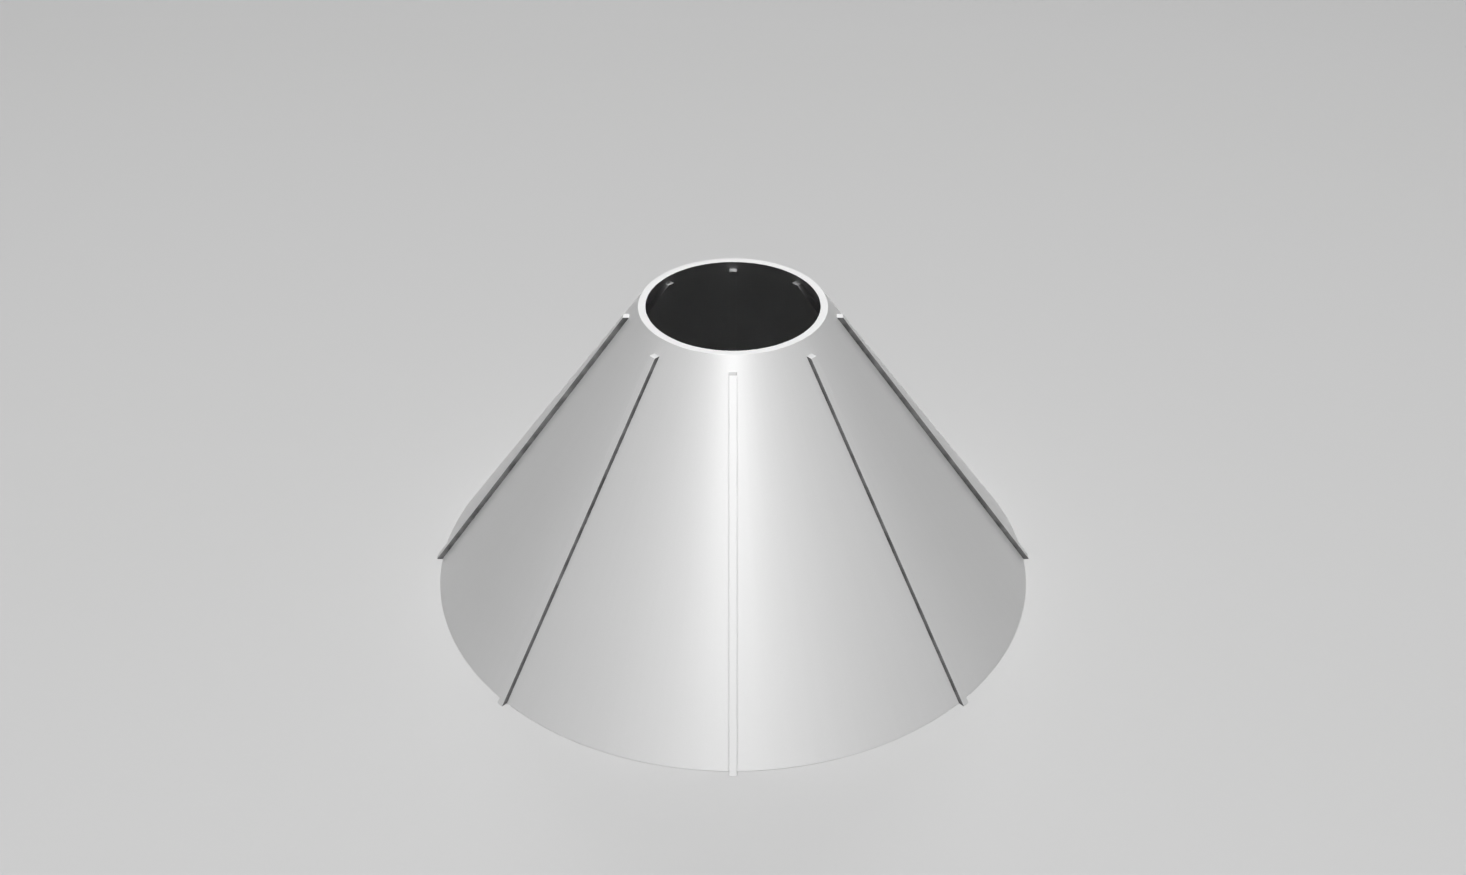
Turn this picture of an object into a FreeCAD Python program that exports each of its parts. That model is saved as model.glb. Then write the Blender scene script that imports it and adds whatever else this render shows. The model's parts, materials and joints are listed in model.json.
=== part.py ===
# A conical lampshade, moulded in one piece. A thin wall runs from a wide bottom rim up
# to a narrow, open top rim, and straight ribs run up it, standing out from both faces.
#
# Sizes are in millimetres. +Z is up, and the origin is the centre of the circle that
# the bottom rim stands on. The ribs are spaced evenly round the cone from +X.
import FreeCAD
import Part
import math
import os

# The cone
base_diameter = 170.0   # across the outside of the bottom rim
hole_diameter = 46.0    # the top hole, at its narrow edge: a lampholder's collar goes in
height = 85.5           # from the bottom rim to the top rim
wall = 2.0              # the wall, measured level, which is the top rim's width too
rim_bevel = 0.25        # off both edges of the top rim

# The ribs
rib_count = 8
rib_width = 2.0         # round the cone
rib_standout = 1.65     # how far a rib stands out of each face of the wall, level
rib_drop = 3.5          # from the top rim down to a rib's top end
rib_rounding = 0.25     # the radius on a rib's long edges and round its top end

# What follows from these. The bottom rim is the mould's parting plane, so its edges
# stay sharp, on the ribs too.
base_radius = base_diameter / 2
rim_radius = hole_diameter / 2 + wall
rib_top = height - rib_drop
touching = 0.001        # closer than this counts as lying in a plane


def outer_radius(z):
    """The radius of the wall's outer face at height z."""
    return base_radius + (rim_radius - base_radius) * z / height


def upright_face(corners, y):
    """A flat face through corners (radius, z), in the upright plane at y."""
    points = [FreeCAD.Vector(radius, y, z) for radius, z in corners]
    return Part.Face(Part.makePolygon(points + points[:1]))


def turned(shape, degrees):
    """A copy of shape, turned about the cone's axis."""
    copy = shape.copy()
    copy.rotate(FreeCAD.Vector(0, 0, 0), FreeCAD.Vector(0, 0, 1), degrees)
    return copy


def conical_wall():
    """The wall, revolved from its slanting section, with the top rim's edges bevelled.

    The section starts midway between two ribs, so that no rib meets the seam.
    """
    section = upright_face(
        [
            (base_radius, 0),
            (rim_radius, height),
            (rim_radius - wall, height),
            (base_radius - wall, 0),
        ],
        0,
    )
    start = turned(section, 180 / rib_count)
    cone = start.revolve(FreeCAD.Vector(0, 0, 0), FreeCAD.Vector(0, 0, 1), 360)
    rim_edges = [e for e in cone.Edges if e.BoundBox.ZMin > height - touching]
    return cone.makeChamfer(rim_bevel, rim_edges)


def rib():
    """The rib on +X: a bar that leans with the wall and goes right through it.

    Its ends are level. Every edge is rounded but those on the bottom rim.
    """
    inside = -wall - rib_standout
    corners = [(outer_radius(z) + rib_standout, z) for z in (0, rib_top)]
    corners += [(outer_radius(z) + inside, z) for z in (rib_top, 0)]
    bar = upright_face(corners, -rib_width / 2).extrude(FreeCAD.Vector(0, rib_width, 0))
    return bar.makeFillet(rib_rounding, [e for e in bar.Edges if e.BoundBox.ZMax > touching])


def shade():
    """The whole moulding: the wall with its ribs, as one solid."""
    ribs = [turned(rib(), 360 * place / rib_count) for place in range(rib_count)]
    return conical_wall().fuse(ribs).removeSplitter().Solids[0]


os.makedirs("parts", exist_ok=True)
moulding = shade()
moulding.exportStep("parts/shade.step")

lean = math.atan2(base_radius - rim_radius, height)
print(f"shade: {moulding.Volume / 1000:.2f} cm3, valid {moulding.isValid()}")
print(f"the wall leans {math.degrees(lean):.1f} degrees and is {wall * math.cos(lean):.2f} thick")
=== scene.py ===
import json
import math
import bpy
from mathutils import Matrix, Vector


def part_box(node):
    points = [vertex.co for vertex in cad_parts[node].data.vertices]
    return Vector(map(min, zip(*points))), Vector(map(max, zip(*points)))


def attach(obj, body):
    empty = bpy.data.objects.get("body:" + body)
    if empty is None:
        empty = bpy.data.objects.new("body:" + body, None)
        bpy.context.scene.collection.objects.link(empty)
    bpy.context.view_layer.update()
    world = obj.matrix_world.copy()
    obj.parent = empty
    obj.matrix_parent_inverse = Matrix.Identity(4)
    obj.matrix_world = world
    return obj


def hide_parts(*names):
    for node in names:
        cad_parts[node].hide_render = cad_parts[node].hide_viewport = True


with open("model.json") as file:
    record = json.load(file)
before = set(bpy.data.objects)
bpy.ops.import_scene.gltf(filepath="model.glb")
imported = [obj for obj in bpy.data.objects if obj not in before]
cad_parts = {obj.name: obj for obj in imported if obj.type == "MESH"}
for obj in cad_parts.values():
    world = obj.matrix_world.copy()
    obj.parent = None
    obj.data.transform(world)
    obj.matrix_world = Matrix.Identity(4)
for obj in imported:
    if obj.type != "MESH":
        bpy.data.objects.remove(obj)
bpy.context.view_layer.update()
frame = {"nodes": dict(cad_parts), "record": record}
print("frame loaded:", ", ".join(frame["nodes"]))

scene = bpy.context.scene
mm = 0.001


# Building node trees

def newTree(name, kind, takes, gives):
    # takes and gives are lists of (socket name, socket type, default or None)
    tree = bpy.data.node_groups.new(name, kind)
    for direction, sockets in (("INPUT", takes), ("OUTPUT", gives)):
        for socketName, socketType, default in sockets:
            socket = tree.interface.new_socket(
                socketName, in_out=direction, socket_type="NodeSocket" + socketType)
            if default is not None:
                socket.default_value = default
    return tree


def addNode(tree, kind, *wires, **settings):
    # wires are (input name or number, value or output socket)
    node = tree.nodes.new(kind)
    for setting, value in settings.items():
        setattr(node, setting, value)
    for place, source in wires:
        socket = node.inputs[place]
        if isinstance(source, bpy.types.NodeSocket):
            tree.links.new(source, socket)
        else:
            socket.default_value = source
    return node


def calculator(tree):
    # calc("MULTIPLY", a, b) adds one maths node and gives its output
    def calc(operation, *values):
        return addNode(tree, "ShaderNodeMath", *enumerate(values), operation=operation).outputs[0]
    return calc


def vector(tree, **parts):
    # a vector from its X, Y and Z, where a part that isn't given is 0
    return addNode(tree, "ShaderNodeCombineXYZ", *parts.items()).outputs[0]


def runTree(piece, tree, values):
    # a modifier's inputs go by the sockets' identifiers
    modifier = piece.modifiers.new(tree.name, "NODES")
    modifier.node_group = tree
    for item in tree.interface.items_tree:
        if item.in_out == "INPUT" and item.name in values:
            modifier[item.identifier] = values[item.name]


def finishedMesh(piece):
    # the evaluated mesh takes the place of the modifiers
    evaluated = piece.evaluated_get(bpy.context.evaluated_depsgraph_get())
    mesh = bpy.data.meshes.new_from_object(evaluated)
    piece.modifiers.clear()
    piece.data = mesh
    mesh.name = piece.name
    return piece


# The moulded shade: a conical wall with ribs through it

lowCorner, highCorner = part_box("shade")
holeMount = next(mount for mount in frame["record"]["mounts"] if mount["name"] == "lampholder_hole")

shade = {
    "wall": 2.0 * mm,                   # measured level
    "ribCount": 8,
    "ribWidth": 2.0 * mm,
    "ribStandOut": 1.65 * mm,           # from each face of the wall, level
    "ribDrop": 3.5 * mm,                # from the top rim to a rib's end
    "rounding": 0.05 * mm,              # on every edge but the ribs' roots
    "roundingSteps": 3,
    "roundSegments": 384,
    "mergeDistance": 0.001 * mm,        # joins the slivers that the union leaves
    "creaseAngle": math.radians(45),    # where faces turn by more, the edge is a sharp corner
}
shade["height"] = highCorner[2] - lowCorner[2]
shade["baseRadius"] = highCorner[0] - shade["ribStandOut"]
shade["rimRadius"] = holeMount["dims"]["r_mm"] * mm + shade["wall"]


def leaningBarTree():
    # one rib as a sharp-edged bar on +X, upright first and then pushed over to the wall's slope
    tree = newTree("leaningBar", "GeometryNodeTree", [
        ("Geometry", "Geometry", None),
        ("Base Radius", "Float", 1.0),
        ("Rim Radius", "Float", 0.5),
        ("Height", "Float", 1.0),
        ("Wall", "Float", 0.1),
        ("Rib Width", "Float", 0.1),
        ("Rib Stand-out", "Float", 0.1),
        ("Rib Drop", "Float", 0.1),
    ], [("Geometry", "Geometry", None)])
    calc = calculator(tree)
    given = addNode(tree, "NodeGroupInput").outputs

    top = calc("SUBTRACT", given["Height"], given["Rib Drop"])
    depth = calc("MULTIPLY_ADD", given["Rib Stand-out"], 2.0, given["Wall"])
    block = addNode(tree, "GeometryNodeMeshCube",
                    ("Size", vector(tree, X=depth, Y=given["Rib Width"], Z=top)))
    middle = calc("MULTIPLY_ADD", given["Wall"], -0.5, given["Base Radius"])
    placed = addNode(tree, "GeometryNodeTransform", ("Geometry", block.outputs["Mesh"]),
                     ("Translation", vector(tree, X=middle, Z=calc("MULTIPLY", top, 0.5))))

    lean = calc("SUBTRACT", given["Rim Radius"], given["Base Radius"])
    slope = calc("DIVIDE", lean, given["Height"])
    position = addNode(tree, "GeometryNodeInputPosition").outputs[0]
    up = addNode(tree, "ShaderNodeSeparateXYZ", ("Vector", position)).outputs["Z"]
    leant = addNode(tree, "GeometryNodeSetPosition", ("Geometry", placed.outputs[0]),
                    ("Offset", vector(tree, X=calc("MULTIPLY", up, slope))))
    addNode(tree, "NodeGroupOutput", ("Geometry", leant.outputs[0]))
    return tree


def ribbedConeTree():
    # the wall's section swept round the axis, with the incoming rib turned round it and joined on
    tree = newTree("ribbedCone", "GeometryNodeTree", [
        ("Geometry", "Geometry", None),
        ("Base Radius", "Float", 1.0),
        ("Rim Radius", "Float", 0.5),
        ("Height", "Float", 1.0),
        ("Wall", "Float", 0.1),
        ("Rounding", "Float", 0.01),
        ("Rounding Steps", "Int", 4),
        ("Segments", "Int", 64),
        ("Rib Count", "Int", 8),
        ("Merge Distance", "Float", 0.001 * mm),
        ("Crease Angle", "Float", 0.8),
        ("Material", "Material", None),
    ], [("Geometry", "Geometry", None)])
    calc = calculator(tree)
    given = addNode(tree, "NodeGroupInput").outputs

    # the section, as places out from the base circle and up
    lean = calc("SUBTRACT", given["Rim Radius"], given["Base Radius"])
    inward = calc("MULTIPLY", given["Wall"], -1.0)
    places = [
        (0.0, 0.0),
        (lean, given["Height"]),
        (calc("ADD", lean, inward), given["Height"]),
        (inward, 0.0),
    ]
    corners = [("Point " + str(number), vector(tree, X=out, Y=up))
               for number, (out, up) in enumerate(places, start=1)]
    section = addNode(tree, "GeometryNodeCurvePrimitiveQuadrilateral", *corners, mode="POINTS")
    rounded = addNode(tree, "GeometryNodeFilletCurve", ("Curve", section.outputs[0]),
                      ("Radius", given["Rounding"]), mode="POLY")
    tree.links.new(given["Rounding Steps"], rounded.inputs["Count"])
    ring = addNode(tree, "GeometryNodeCurvePrimitiveCircle", ("Resolution", given["Segments"]),
                   ("Radius", given["Base Radius"]))
    swept = addNode(tree, "GeometryNodeCurveToMesh", ("Curve", ring.outputs[0]),
                    ("Profile Curve", rounded.outputs[0]))
    # the sweep comes out upside down
    wall = addNode(tree, "GeometryNodeTransform", ("Geometry", swept.outputs[0]),
                   ("Rotation", (math.pi, 0.0, 0.0)))

    # one rib at each step round the axis
    spots = addNode(tree, "GeometryNodeMeshLine", ("Count", given["Rib Count"]),
                    ("Offset", (0.0, 0.0, 0.0)))
    step = calc("DIVIDE", math.tau, given["Rib Count"])
    turn = calc("MULTIPLY", addNode(tree, "GeometryNodeInputIndex").outputs[0], step)
    ribs = addNode(tree, "GeometryNodeInstanceOnPoints", ("Points", spots.outputs[0]),
                   ("Instance", given["Geometry"]), ("Rotation", vector(tree, Z=turn)))
    ribMesh = addNode(tree, "GeometryNodeRealizeInstances", ("Geometry", ribs.outputs[0]))

    joined = addNode(tree, "GeometryNodeMeshBoolean", operation="UNION", solver="EXACT")
    for part in (wall, ribMesh):
        tree.links.new(part.outputs[0], joined.inputs["Mesh 2"])
    clean = addNode(tree, "GeometryNodeMergeByDistance", ("Geometry", joined.outputs["Mesh"]),
                    ("Distance", given["Merge Distance"]))
    smooth = addNode(tree, "GeometryNodeSetShadeSmooth", ("Geometry", clean.outputs[0]))
    turning = addNode(tree, "GeometryNodeInputMeshEdgeAngle").outputs["Unsigned Angle"]
    creased = addNode(tree, "GeometryNodeSetShadeSmooth", ("Geometry", smooth.outputs[0]),
                      ("Selection", calc("GREATER_THAN", turning, given["Crease Angle"])),
                      ("Shade Smooth", False), domain="EDGE")
    whole = addNode(tree, "GeometryNodeRealizeInstances", ("Geometry", creased.outputs[0]))
    painted = addNode(tree, "GeometryNodeSetMaterial", ("Geometry", whole.outputs[0]),
                      ("Material", given["Material"]))
    addNode(tree, "NodeGroupOutput", ("Geometry", painted.outputs[0]))
    return tree


def makeShade(finish):
    piece = bpy.data.objects.new("mouldedShade", bpy.data.meshes.new("mouldedShade"))
    scene.collection.objects.link(piece)
    sizes = {
        "Base Radius": shade["baseRadius"],
        "Rim Radius": shade["rimRadius"],
        "Height": shade["height"],
        "Wall": shade["wall"],
        "Rib Width": shade["ribWidth"],
        "Rib Stand-out": shade["ribStandOut"],
        "Rib Drop": shade["ribDrop"],
        "Rounding": shade["rounding"],
        "Rounding Steps": shade["roundingSteps"],
        "Segments": shade["roundSegments"],
        "Rib Count": shade["ribCount"],
        "Merge Distance": shade["mergeDistance"],
        "Crease Angle": shade["creaseAngle"],
        "Material": finish,
    }
    runTree(piece, leaningBarTree(), sizes)
    edges = piece.modifiers.new("ribEdges", "BEVEL")
    edges.width = shade["rounding"]
    edges.segments = shade["roundingSteps"]
    edges.limit_method = "NONE"
    runTree(piece, ribbedConeTree(), sizes)
    flats = piece.modifiers.new("flats", "WEIGHTED_NORMAL")
    flats.keep_sharp = True
    return finishedMesh(piece)


# Finishes

plastic = {
    "colour": (0.55, 0.55, 0.55),
    "roughness": 0.50,
    "specular": 0.9,
    "coat": 0.8,                    # the gloss skin of a moulding, which its core side lacks
    "coatRoughness": 0.32,
    "insideRoughness": 0.10,        # more, because the core side is less polished
    "grainSize": 0.35 * mm,         # the tool's fine sparked texture
    "grainDepth": 0.012 * mm,
    "grainTone": 0.015,             # how much lighter its high spots are
    "drawLines": 230,               # round the cone, as the moulding left its tool
    "drawDrift": 12.0,              # how much a line changes on its way up, per metre
    "drawDepth": 0.002 * mm,
    "drawTone": 0.03,
    "mottleSize": 45 * mm,
    "mottle": 0.05,
    "mottleRoughness": 0.12,
    # painted shade on the outer ribs' sides: how dark, how far it reaches from their roots, and its
    # patches
    "paintedShade": 0.88,
    "paintedShadeReach": 6.0 * mm,          # out from the corner at a rib's root
    "paintedShadeFoot": 0.02 * mm,          # clear of the wall, so that none lies on it
    "paintedShadeEdge": (0.8, 0.1),         # shares of the rounding at which it starts and is full
    "paintedShadePatch": 4 * mm,
    "paintedShadePatchiness": 0.6,
    "paintedShadeRoughness": 0.2,
    "wear": 0.06,
    "wearReach": 0.35 * mm,
    "wearPatch": 7 * mm,
    "wearSpread": (0.4, 0.6),       # levels of its noise at which a patch starts and is full
    "wearRoughness": -0.08,         # rubbed smoother
}

floorTones = {
    "seen": (0.56, 0.56, 0.56),
    "bounce": (0.02, 0.02, 0.02),
    "roughness": 0.9,
    "grainSize": 1.5 * mm,
    "grainDepth": 0.02 * mm,
    "fadeStart": 0.4,               # metres out from the shade
    "fadeEnd": 1.4,
}

roomTones = {
    "seen": (0.50, 0.50, 0.50),     # what the camera and the gloss see past the floor
    "light": (0.01, 0.01, 0.01),    # nearly dark as a light
}


def newMaterial(name):
    material = bpy.data.materials.new(name)
    material.use_nodes = True
    tree = material.node_tree
    return material, tree, tree.nodes["Principled BSDF"]


def noise(tree, place, scale, detail=2.0):
    # soft noise from 0 to 1, with about scale lumps to a unit of place
    return addNode(tree, "ShaderNodeTexNoise", ("Vector", place), ("Scale", scale),
                   ("Detail", detail)).outputs[0]


def fade(tree, value, clear, full):
    # 0 where value is clear or past it, easing to 1 at full
    return addNode(tree, "ShaderNodeMapRange", ("Value", value), ("From Min", clear),
                   ("From Max", full), interpolation_type="SMOOTHSTEP").outputs[0]


def blend(tree, share, first, second):
    # the first colour where share is 0, and the second where it is 1
    return addNode(tree, "ShaderNodeMix", ("Factor", share), ("A", first), ("B", second),
                   data_type="RGBA").outputs["Result"]


def fineGrainTree():
    # a fine even grain, for any surface: its height in metres, and a mask of its high spots
    tree = newTree("fineGrain", "ShaderNodeTree", [
        ("Size", "Float", 1.0 * mm),
        ("Depth", "Float", 0.01 * mm),
    ], [("Height", "Float", None), ("High Spots", "Float", None)])
    calc = calculator(tree)
    given = addNode(tree, "NodeGroupInput").outputs
    place = addNode(tree, "ShaderNodeTexCoord").outputs["Object"]
    lumps = noise(tree, place, calc("DIVIDE", 1.0, given["Size"]))
    spotsStart, spotsFull = 0.5, 0.7
    addNode(tree, "NodeGroupOutput", ("Height", calc("MULTIPLY", lumps, given["Depth"])),
            ("High Spots", fade(tree, lumps, spotsStart, spotsFull)))
    return tree


def grainOn(tree, grain, finish):
    # the grain at a finish's own size and depth
    return addNode(tree, "ShaderNodeGroup", ("Size", finish["grainSize"]),
                   ("Depth", finish["grainDepth"]), node_tree=grain).outputs


def bumpFrom(tree, height):
    # the normal of a surface with this height, which is in metres
    return addNode(tree, "ShaderNodeBump", ("Distance", 1.0), ("Height", height)).outputs[0]


def shadePlaces(tree):
    # where a point is on the shade, in metres: from its rib's middle, out from the wall, and up
    calc = calculator(tree)
    place = addNode(tree, "ShaderNodeTexCoord").outputs["Object"]
    parts = addNode(tree, "ShaderNodeSeparateXYZ", ("Vector", place)).outputs
    level = addNode(tree, "ShaderNodeVectorMath", (0, place), (1, (1.0, 1.0, 0.0)),
                    operation="MULTIPLY").outputs[0]
    radius = addNode(tree, "ShaderNodeVectorMath", (0, level), operation="LENGTH").outputs["Value"]
    halfPitch = math.pi / shade["ribCount"]
    fromRib = calc("WRAP", calc("ARCTAN2", parts["Y"], parts["X"]), halfPitch, -halfPitch)
    across = calc("ABSOLUTE", calc("MULTIPLY", radius, calc("SINE", fromRib)))
    slope = (shade["rimRadius"] - shade["baseRadius"]) / shade["height"]
    wallRadius = calc("MULTIPLY_ADD", parts["Z"], slope, shade["baseRadius"])
    out = calc("SUBTRACT", radius, wallRadius)
    inward = calc("SUBTRACT", -shade["wall"], out)
    return {
        "object": place,
        "round": addNode(tree, "ShaderNodeVectorMath", (0, level), operation="NORMALIZE").outputs[0],
        "radius": radius,
        "up": parts["Z"],
        "across": across,
        "standOut": calc("MAXIMUM", calc("MAXIMUM", out, inward), 0.0),
        "inside": calc("LESS_THAN", out, shade["rounding"] - shade["wall"]),
    }


def rootSoil(tree, where):
    # painted shade on the outer ribs' sides, darker near the corner where they stand on the wall, in
    # patches
    calc = calculator(tree)
    start, full = [shade["ribWidth"] / 2 - shade["rounding"] * share for share in plastic["paintedShadeEdge"]]
    onFace = fade(tree, where["across"], start, full)
    offWall = calc("GREATER_THAN", where["standOut"], plastic["paintedShadeFoot"])
    onSide = calc("MULTIPLY", calc("MULTIPLY", onFace, offWall), calc("SUBTRACT", 1.0, where["inside"]))
    spread = plastic["paintedShadePatchiness"]
    patchy = calc("MULTIPLY_ADD", noise(tree, where["object"], 1 / plastic["paintedShadePatch"]),
                  spread, 1.0 - spread / 2)
    depth = fade(tree, where["standOut"], plastic["paintedShadeReach"], 0.0)
    return calc("MULTIPLY", calc("MULTIPLY", depth, onSide), patchy)


def edgeWear(tree, where):
    # the ribs' outer edges and the rims' edges, rubbed in patches
    calc = calculator(tree)

    def farFrom(first, firstEdge, second, secondEdge):
        # how far a point is from an edge that lies where both measures have these values
        one = calc("SUBTRACT", where[first], firstEdge)
        other = calc("SUBTRACT", where[second], secondEdge)
        return calc("SQRT", calc("MULTIPLY_ADD", other, other, calc("MULTIPLY", one, one)))

    nearest = farFrom("across", shade["ribWidth"] / 2, "standOut", shade["ribStandOut"])
    for height, outer in ((shade["height"], shade["rimRadius"]), (0.0, shade["baseRadius"])):
        for radius in (outer, outer - shade["wall"]):
            nearest = calc("MINIMUM", nearest, farFrom("radius", radius, "up", height))
    patches = fade(tree, noise(tree, where["object"], 1 / plastic["wearPatch"]), *plastic["wearSpread"])
    return calc("MULTIPLY", fade(tree, nearest, plastic["wearReach"], 0.0), patches)


def drawLines(tree, where):
    # faint lines up the slope, each at one angle, from the way a moulding leaves its tool
    ring = addNode(tree, "ShaderNodeVectorMath", (0, where["round"]), operation="SCALE")
    ring.inputs["Scale"].default_value = plastic["drawLines"] / math.tau
    parts = addNode(tree, "ShaderNodeSeparateXYZ", ("Vector", ring.outputs[0])).outputs
    drift = calculator(tree)("MULTIPLY", where["up"], plastic["drawDrift"])
    return noise(tree, vector(tree, X=parts["X"], Y=parts["Y"], Z=drift), 1.0, detail=3.0)


def mouldedPlastic(grain):
    material, tree, shader = newMaterial("mouldedPlastic")
    calc = calculator(tree)
    where = shadePlaces(tree)
    # a mask of painted shade on the outer ribs' sides, darkest at their roots
    paintedShade = rootSoil(tree, where)
    wear = edgeWear(tree, where)
    lines = drawLines(tree, where)
    mottle = noise(tree, where["object"], 1 / plastic["mottleSize"], detail=4.0)
    mottle = calc("SUBTRACT", mottle, 0.5)
    texture = grainOn(tree, grain, plastic)

    # how light the plastic is, as a share of its own colour, with painted shade on the outer ribs'
    # sides
    light = calc("MULTIPLY_ADD", mottle, plastic["mottle"], 1.0)
    light = calc("MULTIPLY_ADD", calc("SUBTRACT", lines, 0.5), plastic["drawTone"], light)
    light = calc("MULTIPLY_ADD", texture["High Spots"], plastic["grainTone"], light)
    light = calc("MULTIPLY_ADD", wear, plastic["wear"], light)
    # painted shade darkens the outer ribs' sides
    light = calc("MULTIPLY", light, calc("MULTIPLY_ADD", paintedShade, -plastic["paintedShade"], 1.0))
    tone = addNode(tree, "ShaderNodeMix", ("Factor", 1.0), ("A", (*plastic["colour"], 1.0)),
                   ("B", light), data_type="RGBA", blend_type="MULTIPLY").outputs["Result"]

    rough = calc("MULTIPLY_ADD", mottle, plastic["mottleRoughness"], plastic["roughness"])
    rough = calc("MULTIPLY_ADD", where["inside"], plastic["insideRoughness"], rough)
    rough = calc("MULTIPLY_ADD", paintedShade, plastic["paintedShadeRoughness"], rough)
    rough = calc("MULTIPLY_ADD", wear, plastic["wearRoughness"], rough)

    # no gloss skin inside or under the painted shade
    bare = calc("MAXIMUM", where["inside"], paintedShade)
    skin = calc("MULTIPLY_ADD", bare, -plastic["coat"], plastic["coat"])
    relief = calc("MULTIPLY_ADD", lines, plastic["drawDepth"], texture["Height"])

    tree.links.new(tone, shader.inputs["Base Color"])
    tree.links.new(rough, shader.inputs["Roughness"])
    tree.links.new(skin, shader.inputs["Coat Weight"])
    tree.links.new(bumpFrom(tree, relief), shader.inputs["Normal"])
    shader.inputs["Specular IOR Level"].default_value = plastic["specular"]
    shader.inputs["Coat Roughness"].default_value = plastic["coatRoughness"]
    return material


def seenTone(tree, bounce, seen):
    # one colour to the camera, to gloss and to glass, and another to light that bounces
    calc = calculator(tree)
    rays = addNode(tree, "ShaderNodeLightPath").outputs
    looking = calc("MAXIMUM", rays["Is Glossy Ray"], rays["Is Transmission Ray"])
    looking = calc("MAXIMUM", rays["Is Camera Ray"], looking)
    return blend(tree, looking, (*bounce, 1.0), (*seen, 1.0))


def paleFloor(grain):
    # darker to light that bounces off it, so that the ribs' sides keep their shade, and easing
    # into the room's own tone far off, so that no horizon shows
    material, tree, shader = newMaterial("paleFloor")
    calc = calculator(tree)
    place = addNode(tree, "ShaderNodeTexCoord").outputs["Object"]
    away = addNode(tree, "ShaderNodeVectorMath", (0, place), operation="LENGTH").outputs["Value"]
    far = fade(tree, away, floorTones["fadeStart"], floorTones["fadeEnd"])
    black = (0.0, 0.0, 0.0)
    floorTone = seenTone(tree, floorTones["bounce"], floorTones["seen"])
    roomTone = seenTone(tree, black, roomTones["seen"])
    tree.links.new(blend(tree, far, floorTone, (*black, 1.0)), shader.inputs["Base Color"])
    tree.links.new(blend(tree, far, (*black, 1.0), roomTone), shader.inputs["Emission Color"])

    # clear from underneath, so that the shade can be seen from below
    underneath = addNode(tree, "ShaderNodeNewGeometry").outputs["Backfacing"]
    tree.links.new(calc("SUBTRACT", 1.0, underneath), shader.inputs["Alpha"])

    texture = grainOn(tree, grain, floorTones)
    tree.links.new(bumpFrom(tree, texture["Height"]), shader.inputs["Normal"])
    shader.inputs["Roughness"].default_value = floorTones["roughness"]
    shader.inputs["Specular IOR Level"].default_value = 0.0
    shader.inputs["Emission Strength"].default_value = 1.0
    return material


fineGrain = fineGrainTree()
piece = makeShade(mouldedPlastic(fineGrain))
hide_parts("shade")
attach(piece, "root")
print("shade made:", len(piece.data.polygons), "faces")


# The floor, the lamps and the camera

studio = {
    "floorSize": 30.0,
    "floorDrop": -0.05 * mm,        # so that the rim and the floor don't share a plane
    "aim": (0.0, 0.0, 0.0427),      # halfway up the shade
    "cameraPlace": (0.0, -0.3732, 0.3040),
    "nearestSeen": 0.01,
    "focalPixels": 1637.0,          # of a picture pictureWidth pixels wide
    "pictureWidth": 1466,
    "sensorWidth": 36.0,
    "lampDistance": 2.5,            # from the aim
    "lamps": {
        # azimuth and elevation in degrees, width and height in metres, watts, only for gloss
        "overhead": (0, 90, 0.70, 0.70, 27.5, False),
        "key": (-90, 56, 0.70, 0.20, 42.0, False),
        "streak": (-90, 35, 0.95, 0.75, 15.5, True),
        "sheen": (-90, 30, 3.50, 1.80, 28.0, True),
        "leftSheen": (-150, 32, 2.30, 1.80, 10.0, True),
        "rightSheen": (-30, 32, 2.30, 1.80, 10.0, True),
        "back": (90, 35, 0.90, 0.60, 9.0, False),
    },
}


def makeFloor():
    half = studio["floorSize"] / 2
    corners = [(-half, -half), (half, -half), (half, half), (-half, half)]
    mesh = bpy.data.meshes.new("floor")
    mesh.from_pydata([(x, y, studio["floorDrop"]) for x, y in corners], [], [(0, 1, 2, 3)])
    floor = bpy.data.objects.new("floor", mesh)
    scene.collection.objects.link(floor)
    mesh.materials.append(paleFloor(fineGrain))


def pointAt(thing, target):
    away = thing.location - Vector(target)
    thing.rotation_euler = away.to_track_quat("Z", "Y").to_euler()


def makeLamp(name, azimuth, elevation, width, height, watts, glossOnly):
    lamp = bpy.data.lights.new(name, "AREA")
    lamp.shape = "RECTANGLE"
    lamp.size, lamp.size_y = width, height
    lamp.energy = watts
    thing = bpy.data.objects.new(name, lamp)
    turn, rise = math.radians(azimuth), math.radians(elevation)
    level = math.cos(rise)
    direction = Vector((level * math.cos(turn), level * math.sin(turn), math.sin(rise)))
    thing.location = Vector(studio["aim"]) + direction * studio["lampDistance"]
    thing.visible_diffuse = not glossOnly
    scene.collection.objects.link(thing)
    pointAt(thing, studio["aim"])


def makeCamera():
    camera = bpy.data.cameras.new("camera")
    camera.sensor_width = studio["sensorWidth"]
    camera.lens = studio["sensorWidth"] * studio["focalPixels"] / studio["pictureWidth"]
    camera.clip_start = studio["nearestSeen"]
    thing = bpy.data.objects.new("camera", camera)
    thing.location = studio["cameraPlace"]
    scene.collection.objects.link(thing)
    pointAt(thing, studio["aim"])
    scene.camera = thing


def makeWorld():
    world = bpy.data.worlds.new("room")
    world.use_nodes = True
    tree = world.node_tree
    tone = seenTone(tree, roomTones["light"], roomTones["seen"])
    tree.links.new(tone, tree.nodes["Background"].inputs["Color"])
    scene.world = world


makeFloor()
for name, settings in studio["lamps"].items():
    makeLamp(name, *settings)
makeCamera()
makeWorld()
scene.view_settings.view_transform = "Standard"
print("floor, lamps and camera set")
